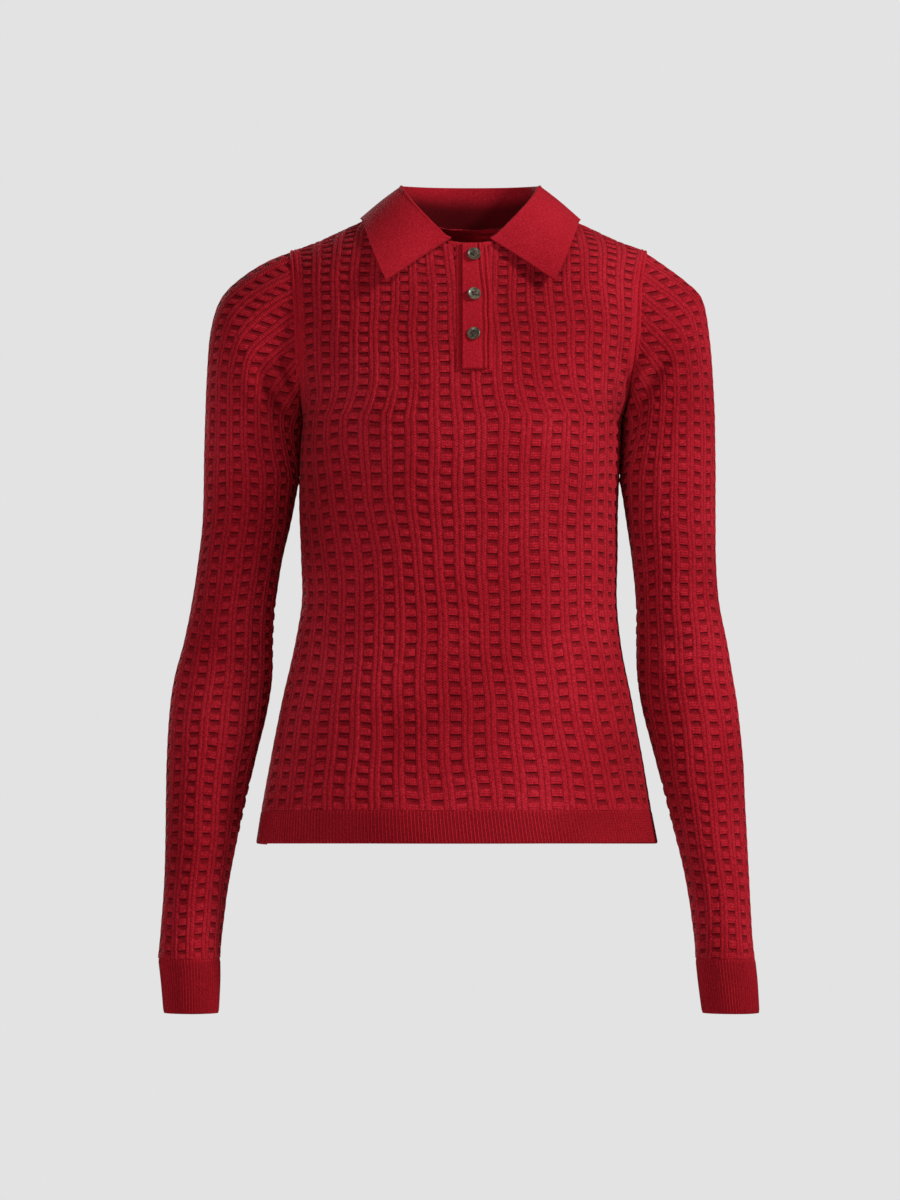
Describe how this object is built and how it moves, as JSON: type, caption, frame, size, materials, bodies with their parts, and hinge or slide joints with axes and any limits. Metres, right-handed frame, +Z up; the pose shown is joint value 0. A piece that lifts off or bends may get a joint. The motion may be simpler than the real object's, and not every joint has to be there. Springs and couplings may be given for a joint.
{
  "type": "polo sweater",
  "caption": "Hollow long-sleeved waffle-knit polo sweater with a folded collar, a short buttoned placket and ribbed hem and cuffs, filled out as if worn.",
  "frame": {"origin": "between the shoulders at the base of the neck, where a wearer holds the sweater up", "axes": "+Z up the body, -Y out of the front, +X towards the wearer's left"},
  "size_m": [0.5093, 0.2348, 0.703],
  "materials": {
    "waffle_knit": "matte",
    "fine_knit": "matte",
    "horn": "satin"
  },
  "bodies": {
    "root": {"front_panel": "waffle_knit", "back_panel": "waffle_knit", "sleeve_right": "waffle_knit", "sleeve_left": "waffle_knit", "collar": "fine_knit", "placket_top": "fine_knit", "placket_under": "fine_knit", "hem_rib_front": "fine_knit", "hem_rib_back": "fine_knit", "cuff_right": "fine_knit", "cuff_left": "fine_knit", "button_1": "horn", "button_2": "horn", "button_3": "horn"}
  },
  "joints": []
}
